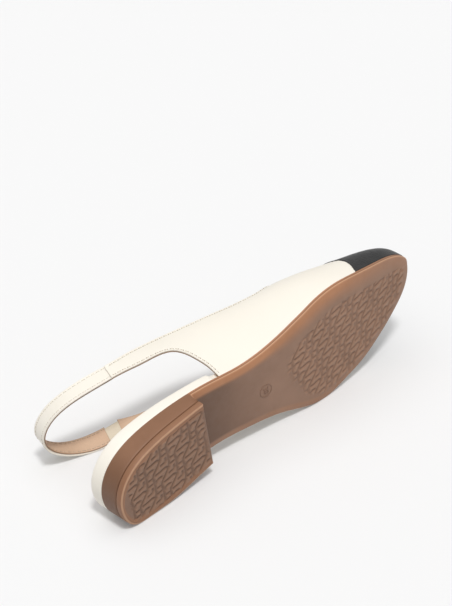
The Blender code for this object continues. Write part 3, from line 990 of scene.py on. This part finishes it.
def make_outsole():
    """Forefoot, waist and heel stack in one moulding, with the forefoot's tread, its buffing and
    darkening, painted shade and painted highlights.
    """
    breast = station(HEEL_LENGTH / SOLE_LENGTH)
    breast_top = station((HEEL_LENGTH + BREAST_SLOPE) / SOLE_LENGTH)
    start, end = TREAD_REACH
    stations = np.concatenate([
        np.linspace(0, breast, HEEL_COLUMNS),
        np.linspace(breast_top, station(start), WAIST_COLUMNS)[:-1],
        station(np.linspace(start, end, TREAD_COLUMNS)[:-1]),
        np.linspace(station(end), 1, TOE_COLUMNS),
    ])
    along = along_at(stations)
    under_heel = stations <= breast
    grid = sole_grid(stations, *outsole_edges(along, under_heel), OUTSOLE_ACROSS)
    rows = bottom_rows(len(SOLE_EDGE), OUTSOLE_ACROSS)
    flat = grid[rows]
    place = np.broadcast_to(along, flat.shape[:2])
    from_inner, from_outer = (away + SOLE_EDGE[-1][0] for away in from_edges(flat))
    field = ease(0, FIELD_FADE, from_inner - field_margin(place, -1))
    field *= ease(0, FIELD_FADE, from_outer - field_margin(place, 1))
    field *= ease(*FIELD_RUN, place + FIELD_WAVE * np.cos(flat[..., 1] / FIELD_WAVE_LENGTH))
    grooves, pads = press_tread(flat, field, FORE_TREAD_START, FORE_TREAD_STEP, FORE_TREAD_SHARE)

    buffed_and_lit, shade_and_darkening, painted_highlight = (np.zeros(grid.shape[:2]) for _ in range(3))
    border = BORDER_WIDTH + BORDER_GAIN * ease(*BORDER_RUN, along)
    # The inner side, which faces the light, gets a wider and stronger warm border than the outer side:
    # partly buffing, partly painted light
    buffed_and_lit[rows] = np.maximum(ease(1, 0.2, from_inner / border), OUTER_BORDER * ease(5, 1.5, from_outer))
    walls = np.arange(len(SOLE_EDGE) - 1)
    # Inner wall fully warm, outer wall less so: painted light on the lit side
    buffed_and_lit[walls] = 1
    buffed_and_lit[-1 - walls] = OUTER_WALL_BUFFED_AND_LIT
    buffed_and_lit *= 1 - TOE_FADE * ease(0.70, 0.92, along)
    buffed_and_lit[:, under_heel] = HEEL_BUFFED
    # Painted shade in the tread's grooves and over the waist, deepest towards the heel's breast
    shade_and_darkening[rows] = GROOVE_SHADE * grooves + WAIST_SHADE * ease(0.50, 0.32, along)
    # The heel stack is darker all over, with painted shade towards its back
    shade_and_darkening[:, under_heel] = (HEEL_DARKENING + HEEL_BACK_SHADE * ease(0.09, 0, along))[under_heel]
    # Painted highlight on the pads' crowns
    painted_highlight[rows] = PAD_HIGHLIGHT * pads
    bare = (~under_heel).astype(float)
    # Painted shade in the edge's crease and a painted highlight on its bead
    for row, dark, light in EDGE_SHADE_AND_HIGHLIGHT:
        for index in (row, -1 - row):
            shade_and_darkening[index] += dark * bare
            painted_highlight[index] = light * bare
    return grid, {"buffed_and_lit": buffed_and_lit, "shade_and_darkening": shade_and_darkening, "painted_highlight": painted_highlight}


def make_top_lift():
    """Heel tread plate, with the groove under the stack, the moulded tread, its buffing and darkening,
    painted shade and painted highlights.
    """
    breast = HEEL_LENGTH / SOLE_LENGTH
    back = np.linspace(0, station(LIFT_BACK), LIFT_BACK_COLUMNS)
    front = station(np.linspace(LIFT_BACK, breast - LIFT_FRONT, LIFT_COLUMNS)[1:])
    stations = np.concatenate([back, front, [station(breast)]])
    insets = [inset + heel_draft(along_at(stations), height) for inset, height in LIFT_EDGE]
    grid = sole_grid(stations, insets, [height for _, height in LIFT_EDGE], LIFT_ACROSS)
    rows = bottom_rows(len(LIFT_EDGE), LIFT_ACROSS)
    flat = grid[rows]
    margin = np.minimum(*from_edges(flat))
    from_back, from_breast = flat[..., 0] - LIFT_BARE, HEEL_LENGTH - flat[..., 0]
    field = ease(0.3, 2.2, margin) * ease(0.2, 2.0, from_back) * ease(1.4, 3.0, from_breast)
    grooves, pads = press_tread(flat, field, TREAD_START, TREAD_STEP)
    grid[:, -1, 2] = np.maximum(grid[:, -1, 2], LIFT_FRONT_ROUND)

    buffed_and_lit = np.full(grid.shape[:2], LIFT_BUFFED)
    buffed_and_lit[rows] *= ease(3.5, 0, margin)
    # The top lift is darker all over, with painted shade in its grooves
    shade_and_darkening = np.full(grid.shape[:2], LIFT_WALL_DARKENING)
    shade_and_darkening[rows] = LIFT_DARKENING + GROOVE_SHADE * grooves
    painted_highlight = np.zeros(grid.shape[:2])
    # Painted highlight on the pads' crowns
    painted_highlight[rows] = PAD_HIGHLIGHT * pads
    # Painted highlight along the rounded edge of the tread
    for row in LIFT_HIGHLIGHT_ROWS:
        painted_highlight[row] = painted_highlight[-1 - row] = LIFT_RIM_HIGHLIGHT
    return grid, {"buffed_and_lit": buffed_and_lit, "shade_and_darkening": shade_and_darkening, "painted_highlight": painted_highlight}


grid, wear = make_outsole()
outsole = grid_piece("outsole_moulding", grid, [rubber], sharp=75, **wear)
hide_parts("outsole")

grid, wear = make_top_lift()
top_lift = grid_piece("top_lift_moulding", grid, [rubber], sharp=75, **wear)
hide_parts("top_lift")


# Size mark on the waist

def on_waist(points):
    """Points given across the sole, towards the toe and out of it, laid on the waist."""
    across, ahead, out = np.asarray(points, dtype=float).T
    x = MARK_PLACE[0] + ahead
    return np.stack([x, MARK_PLACE[1] + across, ground(x / SOLE_LENGTH) - out], axis=1)


def mark_ring(steps=96, sides=8):
    """Thin raised ring."""
    points, faces = [], []
    for i in range(steps):
        angle = 2 * math.pi * i / steps
        for j in range(sides):
            turn = 2 * math.pi * j / sides
            radius = MARK_RADIUS + MARK_LINE * math.cos(turn)
            points.append((radius * math.cos(angle), radius * math.sin(angle), MARK_LINE * math.sin(turn)))
            k, m = (i + 1) % steps, (j + 1) % sides
            faces.append([i * sides + j, i * sides + m, k * sides + m, k * sides + j])
    return points, faces


def mark_number():
    """The size number alone, in the plain built-in letters."""
    curve = bpy.data.curves.new("size number", "FONT")
    curve.body = SIZE_NUMBER
    curve.size = MARK_HEIGHT
    curve.align_x = "CENTER"
    curve.align_y = "CENTER"
    curve.extrude = MARK_LINE
    text = linked("size number", curve)
    mesh = bpy.data.meshes.new_from_object(text)
    points = [tuple(v.co) for v in mesh.vertices]
    faces = [list(p.vertices) for p in mesh.polygons]
    bpy.data.objects.remove(text)
    bpy.data.curves.remove(curve)
    bpy.data.meshes.remove(mesh)
    return points, faces


points, faces = mark_ring()
digits, digit_faces = mark_number()
faces += [[v + len(points) for v in face] for face in digit_faces]
size_mark = new_piece("size_mark", on_waist(points + digits), faces, [mark], sharp=30)


# Footbed, drawn in over short runs where the quarters and the cap cover it

COVER_RUN, COVER_LEAD = 0.018, 0.004
CAP_COVER = (0.79, 0.81)


def inside_upper(along):
    """How far the footbed stands back from the outline."""
    quarter_start = BACK_EDGE[-1][0]
    covered = ease(quarter_start - COVER_RUN, quarter_start - COVER_LEAD, along)
    capped = ease(*CAP_COVER, along)
    return RAND_SETBACK + covered * (UPPER_WALL + 2 * GAP) + capped * CAP_WALL


def make_footbed():
    """Cream rand that wraps the insole board."""
    stations = np.linspace(0, 1, FOOTBED_COLUMNS)
    along = along_at(stations)
    base, top = feather(along) + RAND_SEAT, footbed_top(along)
    foot = base + RAND_CORNER_HEIGHT
    inset = inside_upper(along)
    rounding = np.minimum(RAND_ROUND, (top - base) / 2)
    insets, heights = [inset + RAND_CORNER_WIDTH, inset], [base, foot]
    for share in (0.25, 0.5, 0.75, 1.0):
        insets.append(inset - RAND_SWELL * math.sin(math.pi * share))
        heights.append(foot + share * (top - rounding - foot))
    for angle in (22.5, 45, 67.5, 90):
        turn = math.radians(angle)
        insets.append(inset + rounding * (1 - math.cos(turn)))
        heights.append(top - rounding * (1 - math.sin(turn)))
    return sole_grid(stations, insets, heights, FOOTBED_ACROSS)


def make_sock():
    """Lining on the footbed, with a groove round its edge and slightly padded at the heel."""
    stations = np.linspace(0, 1, SOCK_COLUMNS)
    along = along_at(stations)
    base = footbed_top(along) + SOCK_SEAT
    edge_inset = inside_upper(along) + RAND_ROUND + SOCK_MARGIN
    thick = SOCK_THICKNESS + GAP
    insets = [edge_inset + inset for inset, _, _ in SOCK_EDGE]
    heights = [base + share * thick + beyond for _, share, beyond in SOCK_EDGE]
    grid = sole_grid(stations, insets, heights, SOCK_ACROSS)
    flat = grid[bottom_rows(len(SOCK_EDGE), SOCK_ACROSS)]
    margin = np.minimum(*from_edges(flat))
    pad = ease(0, 16, margin) * ease(150, 60, flat[..., 0])
    flat[..., 2] += SOCK_PAD * pad - SOCK_GROOVE * bump(margin, SOCK_GROOVE_PLACE, SOCK_GROOVE_WIDTH)
    return grid


footbed = grid_piece("footbed_rand", make_footbed(), [cream])
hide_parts("footbed")
sock = grid_piece("sock_lining_leather", make_sock(), [lining])
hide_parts("sock_lining")


# Upper

THROAT = COLLAR[-1][0]
VAMP_LEAN = 0.02
TURN_LENGTH = 0.3
FAN_SHARE = 0.58
TAIL_ROWS = (0.0, 0.006, 0.012, 0.018, 0.024, 0.031, 0.038, 0.047, 0.058)
UPPER_ROWS, COLLAR_COLUMNS, VAMP_COLUMNS = 34, 170, 90
COLLAR_STEPS, BACK_STEPS = 160, 90
FOLD_REACH = 0.03
STEP_RUN = (0.0005, 0.0045)


def row_shares():
    """Shares from the lower edge to the top line, crowded at both for their stitched folds."""
    ends = np.array(TAIL_ROWS)
    middle = np.linspace(ends[-1], 1 - ends[-1], UPPER_ROWS)[1:-1]
    return np.concatenate([ends, middle, 1 - ends[::-1]])


def side_table(table, side):
    """The inner or the outer columns of a table."""
    return np.array(table)[:, slice(0, 2) if side < 0 else slice(2, 4)]


def quarter_flat(side):
    """Low and high ends of the upper's columns on one side, as along and turn."""
    collar, back = side_table(COLLAR, side), side_table(BACK_EDGE, side)
    weights = (1, TURN_LENGTH)
    fan = round(COLLAR_COLUMNS * FAN_SHARE)
    seat_end = station(THROAT + VAMP_LEAN)
    seat = along_at(np.linspace(station(back[-1, 0]), seat_end, COLLAR_COLUMNS - fan + 1))[1:]
    low = np.concatenate([path(back, fan, weights), np.stack([seat, 0 * seat], axis=1)])
    top = path(collar, COLLAR_COLUMNS, weights)
    ends = []
    for line, start, turn in ((low, THROAT + VAMP_LEAN, 0), (top, THROAT, 1)):
        vamp = along_at(np.linspace(station(start), 1, VAMP_COLUMNS))[1:]
        ends.append(np.concatenate([line, np.stack([vamp, np.full(len(vamp), turn)], axis=1)]))
    return ends


def seam_along(turn):
    rows = np.array(CAP_SEAM)
    return fair(rows[:, 0], rows[:, 1], np.clip(turn, 0, 1))


def upper_surface():
    """Points, faces and the points' places on the last, for both sides."""
    grids, places = [], []
    shares = row_shares()[:, None, None]
    for side in (-1, 1):
        low, top = quarter_flat(side)
        flat = np.clip(low[None] * (1 - shares) + top[None] * shares, 0, 1)
        grids.append((last(flat[..., 0], flat[..., 1], side), side > 0))
        places.append(flat.reshape(-1, 2))
    points, faces, first = weld(grids)
    return points, faces, np.concatenate(places)[first]


def edge_line(table, side, count):
    rows = path(side_table(table, side), count, (1, TURN_LENGTH))
    return last(rows[:, 0], rows[:, 1], side)


def free_edges():
    return [np.concatenate([edge_line(COLLAR, side, COLLAR_STEPS)[::-1],
                            edge_line(BACK_EDGE, side, BACK_STEPS)]) for side in (-1, 1)]


def fold_height(margin, rise, place, width, dent, dent_width):
    """A folded edge's rise over its thick turned-in hem, and the dent that its stitches pull in."""
    return rise * bump(margin, place, width) - dent * bump(margin, STITCH_MARGIN, dent_width)


def shaped_upper():
    """The upper's surface with its stitched fold pressed in and its step under the cap."""
    points, faces, place = upper_surface()
    normals = vertex_normals(points, faces)
    margin = np.full(len(points), np.inf)
    near = place[:, 0] < THROAT + FOLD_REACH
    for line in free_edges():
        margin[near] = np.minimum(margin[near], distance_to(points[near], line))
    seam = seam_along(place[:, 1])
    recess = (CAP_WALL + CAP_SEAT - CAP_STEP) * ease(*STEP_RUN, place[:, 0] - seam)
    return points + normals * (fold_height(margin, *UPPER_FOLD) - recess)[:, None], faces


upper_points, upper_faces = shaped_upper()
points, faces, _ = shell(upper_points, upper_faces, 0.0, -LEATHER)
upper = new_piece("upper_leather", points, faces, [cream])
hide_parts("upper")
points, faces, tags = shell(
    upper_points, upper_faces, -LEATHER - LINING_CLEAR, -UPPER_WALL, pull=-LINING_PROUD)
upper_lining = new_piece("upper_lining", points, faces, [lining, lining, lining_shaded_edge], tags=tags)


# Toe cap

CAP_SEAM_SHARE = 0.12
CAP_SEAM_COLUMNS, CAP_COLUMNS, CAP_ROWS = 12, 50, 70
SEAM_STEPS = 90


def cap_surface():
    grids = []
    by_seam = np.linspace(0, CAP_SEAM_SHARE, CAP_SEAM_COLUMNS)[:-1]
    shares = np.concatenate([by_seam, np.linspace(CAP_SEAM_SHARE, 1, CAP_COLUMNS)])
    for side in (-1, 1):
        turn = np.linspace(0, 1, CAP_ROWS)[:, None]
        start = station(seam_along(turn))
        along = along_at(start + (1 - start) * shares[None])
        grids.append((last(along, np.broadcast_to(turn, along.shape), side), side > 0))
    return weld(grids)[:2]


def make_cap():
    points, faces = cap_surface()
    normals = vertex_normals(points, faces)
    up = np.linspace(0, 1, SEAM_STEPS)
    seam = np.concatenate([last(seam_along(turn), turn, side) for side, turn in ((-1, up), (1, up[::-1]))])
    fold = fold_height(distance_to(points, seam), *CAP_FOLD)
    return shell(points + normals * fold[:, None], faces, CAP_STEP, CAP_STEP - CAP_WALL)


points, faces, _ = make_cap()
cap = new_piece("toe_cap_leather", points, faces, [black])
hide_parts("toe_cap")


# Sling

def tail_end(side):
    """Middle of a tail's end, its edge direction, and its outward direction."""
    high, ahead = (last(*row, side) for row in side_table(COLLAR, side)[:2])
    low = last(*side_table(BACK_EDGE, side)[0], side)
    up = unit(high - low)
    out = side * np.cross(up, ahead - high)
    return (high + low) / 2, up, unit(out)


def sling_sections(count):
    """Middles, widthwise and outward directions round the back of the heel."""
    ends = [tail_end(-1), tail_end(1)]
    mid = STRAP_THICKNESS / 2
    points, ups = [ends[0][0] - ends[0][2] * mid], [ends[0][1]]
    front = ends[0][0][0]
    for back, across, height, forwards, inwards in SLING:
        place = (front - back * STRAP_REACH, across * BALL_WIDTH, height * STRAP_BACK_HEIGHT)
        points.append(np.array(place))
        ups.append(np.array([math.tan(math.radians(forwards)), -math.tan(math.radians(inwards)), 1]))
    points.append(ends[1][0] - ends[1][2] * mid)
    ups.append(ends[1][1])
    ups = unit(np.array(ups)) * STRAP_WIDTH
    frames = path(np.concatenate([points, ups], axis=1), count)
    middle, up = frames[:, :3], unit(frames[:, 3:])
    run = unit(np.gradient(middle, axis=0))
    return middle, up, unit(np.cross(up, run))


RIBBON_SHARES = (0, 0.15, 0.26, 0.31, 0.35, 0.38, 0.41, 0.44, 0.47, 0.5)
STRAP_COLUMNS = 260
ELASTIC_OVERLAP = 8


def ribbon_shell(part, width, outer, inner, fold=None):
    """Closed band with rounded edges along a part of the sling, between two offsets outwards."""
    middle, up, out = (data[part] for data in sling)
    shares = np.array(RIBBON_SHARES)
    shares = np.concatenate([-shares[:0:-1], shares])
    rise = fold_height((0.5 - np.abs(shares)) * width, *fold) if fold else 0 * shares
    grid = middle[None] + up[None] * (shares * width)[:, None, None] + out[None] * rise[:, None, None]
    return shell(*weld([(grid, True)])[:2], outer, inner)


sling = sling_sections(STRAP_COLUMNS)
split = round((STRAP_COLUMNS - 1) * (1 - ELASTIC_SHARE))
strap = slice(0, split)
half = STRAP_THICKNESS / 2
back = half - STRAP_LEATHER
points, faces, _ = ribbon_shell(strap, STRAP_WIDTH, half, back, STRAP_FOLD)
strap_leather = new_piece("sling_strap_leather", points, faces, [cream])
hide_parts("sling_strap")
lining_width = STRAP_WIDTH - 2 * STRAP_LINING_SETBACK
points, faces, tags = ribbon_shell(strap, lining_width, back - LINING_CLEAR, -half)
strap_lining = new_piece("sling_strap_lining", points, faces, [lining, lining, lining_shaded_edge], tags=tags)

band = slice(split - ELASTIC_OVERLAP, STRAP_COLUMNS)
points, faces, _ = ribbon_shell(band, ELASTIC_WIDTH, ELASTIC_FACE, ELASTIC_FACE - ELASTIC_THICKNESS)
middle, up, out = sling
ribs = {"rib": points @ unit(up[-1]) * ELASTIC_RIBS,
        "run": points @ unit(middle[-1] - middle[split]) * ELASTIC_THREADS}
elastic = new_piece("elastic_band", points, faces, [webbing], values=ribs)
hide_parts("elastic")


# Stitching

STITCH_RINGS, STITCH_SIDES = 9, 8
LINE_POINTS = 400
TOPLINE_SKIP = 6
BACK_EDGE_SKIP = slice(8, -6)
STRAP_STITCH_SINK = 0.1
LINING_STITCH_SINK = 0.02


def stitch_mesh(places, runs, normals):
    """Short rounded lengths of thread that dip into the leather at both ends."""
    radius, sides = THREAD / 2, STITCH_SIDES
    points, faces, hole_shading = [], [], []
    for place, run, normal in zip(places, runs, normals):
        across = unit(np.cross(normal, run))
        start = len(points)
        for share in np.linspace(-1, 1, STITCH_RINGS):
            thick = radius * math.sqrt(max(0.0, 1 - share ** 4)) + THREAD_TIP
            sink = radius * (STITCH_RISE - STITCH_SINK * share ** 4)
            centre = place + run * share * STITCH_LENGTH / 2 + normal * sink
            # Painted shade values towards each stitch's ends
            hole_shading += [ease(0.45, 0.8, abs(share))] * sides
            for s in range(sides):
                angle = 2 * math.pi * s / sides
                points.append(centre + thick * (across * math.cos(angle) + normal * math.sin(angle)))
        for k in range(STITCH_RINGS - 1):
            for s in range(sides):
                t = (s + 1) % sides
                a, b = start + k * sides, start + (k + 1) * sides
                faces.append([a + s, a + t, b + t, b + s])
        faces.append([start + s for s in reversed(range(sides))])
        faces.append([start + (STITCH_RINGS - 1) * sides + s for s in range(sides)])
    return points, faces, hole_shading


def stitched(name, lines, finish_used):
    """One piece of stitches along lines of points with outward normals."""
    points, faces, hole_shading = [], [], []
    for line, normal in lines:
        places, normals = evenly(line, normal, STITCH_PITCH)
        runs = unit(np.gradient(places, axis=0))
        more, quads, dark = stitch_mesh(places, runs, unit(normals))
        faces += [[v + len(points) for v in quad] for quad in quads]
        points += more
        hole_shading += dark
    piece = new_piece(name, points, faces, [finish_used], values={"hole_shade": hole_shading})


def surface_line(side, table, distance):
    """Line on the last at a distance inside an edge of the upper, and its normals."""
    rows = path(side_table(table, side), LINE_POINTS, (1, TURN_LENGTH))
    small = 1e-3
    place = last(rows[:, 0], rows[:, 1], side)
    d_along = (last(rows[:, 0] + small, rows[:, 1], side) - place) / small
    d_turn = (last(rows[:, 0], rows[:, 1] + small, side) - place) / small
    normal = -side * unit(np.cross(d_along, d_turn))
    inwards = np.cross(normal, unit(np.gradient(place, axis=0)))
    # Step across the surface by the distance, in its own along and turn
    shift = np.array([np.linalg.lstsq(np.stack([a, t], axis=1), i * distance, rcond=None)[0]
                      for a, t, i in zip(d_along, d_turn, inwards)])
    moved = rows + shift
    return last(moved[:, 0], moved[:, 1], side), normal


def topline_stitches():
    """One line from the inner tail over the throat to the outer tail."""
    inner, outer = (surface_line(side, COLLAR, STITCH_MARGIN * side) for side in (-1, 1))
    return [[np.concatenate([a[TOPLINE_SKIP:], b[TOPLINE_SKIP:][::-1]]) for a, b in zip(inner, outer)]]


def back_edge_stitches():
    return [[data[BACK_EDGE_SKIP] for data in surface_line(side, BACK_EDGE, -STITCH_MARGIN * side)]
            for side in (-1, 1)]


def strap_stitches(out_by):
    """A line by each edge of the strap, out from its middle by a height."""
    aside = STRAP_WIDTH / 2 - STITCH_MARGIN
    face = math.copysign(1, out_by)
    return [(middle[strap] + sign * up[strap] * aside + out[strap] * out_by, face * out[strap])
            for sign in (-1, 1)]


stitched("topline_stitches", topline_stitches(), cream_thread)
stitched("back_edge_stitches", back_edge_stitches(), cream_thread)
stitched("strap_stitches", strap_stitches(half - STRAP_STITCH_SINK), cream_thread)
stitched("strap_lining_stitches", strap_stitches(LINING_STITCH_SINK - half), tan_thread)


# Stage, camera and light

FLOOR_COLOUR = (0.67, 0.67, 0.67, 1)
FLOOR_GLOW = 0.12
FLOOR_REACH = 6
PHOTO_WIDTH, PHOTO_HEIGHT = 452, 606
FOCAL_PIXELS = 1900
SENSOR = 36
CAMERA_PLACE = (-437.3, -771.0, -624.6)
CAMERA_RIGHT = (0.6832, 0.1193, -0.7204)
CAMERA_DOWN = (-0.5309, 0.7585, -0.3779)
CAMERA_FORWARD = (0.5014, 0.6406, 0.5816)
WORLD_STRENGTH = 0.29
SUNS = (
    # name, direction to the right, up and back in the picture, strength, angle
    ("Key", (-0.05, 0.80, 0.60), 1.3, 80),
    ("Rake", (0.06, 0.58, 0.81), 1.8, 10),
)


def add_camera():
    """The photograph's camera, in the shoe's own frame."""
    data = bpy.data.cameras.new("Photo camera")
    data.sensor_width = SENSOR
    data.lens = SENSOR * FOCAL_PIXELS / max(PHOTO_WIDTH, PHOTO_HEIGHT)
    camera = linked("Photo camera", data)
    axes = (Vector(CAMERA_RIGHT), -Vector(CAMERA_DOWN), -Vector(CAMERA_FORWARD))
    turn = Matrix(axes).transposed().to_4x4()
    turn.translation = Vector(CAMERA_PLACE) * MM
    camera.matrix_world = SHOE @ turn
    bpy.context.scene.camera = camera
    return camera


def add_sun(camera, name, direction, strength, angle):
    """Sun in a direction given as seen in the picture."""
    data = bpy.data.lights.new(name, "SUN")
    data.energy = strength
    data.angle = math.radians(angle)
    direction = camera.matrix_world.to_3x3() @ Vector(direction)
    linked(name, data).rotation_euler = direction.to_track_quat("Z", "Y").to_euler()


def add_floor():
    bm = bmesh.new()
    bmesh.ops.create_grid(bm, x_segments=1, y_segments=1, size=FLOOR_REACH)
    mesh = bpy.data.meshes.new("floor")
    bm.to_mesh(mesh)
    bm.free()
    mesh.materials.append(finish("Pale floor", lambda tree: (), roughness=0.9, Base_Color=FLOOR_COLOUR,
                                 Emission_Color=(1, 1, 1, 1), Emission_Strength=FLOOR_GLOW))
    floor = linked("floor", mesh)


def add_world():
    world = bpy.data.worlds.new("Studio")
    world.use_nodes = True
    background = world.node_tree.nodes["Background"]
    background.inputs["Color"].default_value = (1, 1, 1, 1)
    background.inputs["Strength"].default_value = WORLD_STRENGTH
    bpy.context.scene.world = world


camera = add_camera()
add_floor()
add_world()
for sun in SUNS:
    add_sun(camera, *sun)
bpy.context.scene.view_settings.view_transform = "Standard"
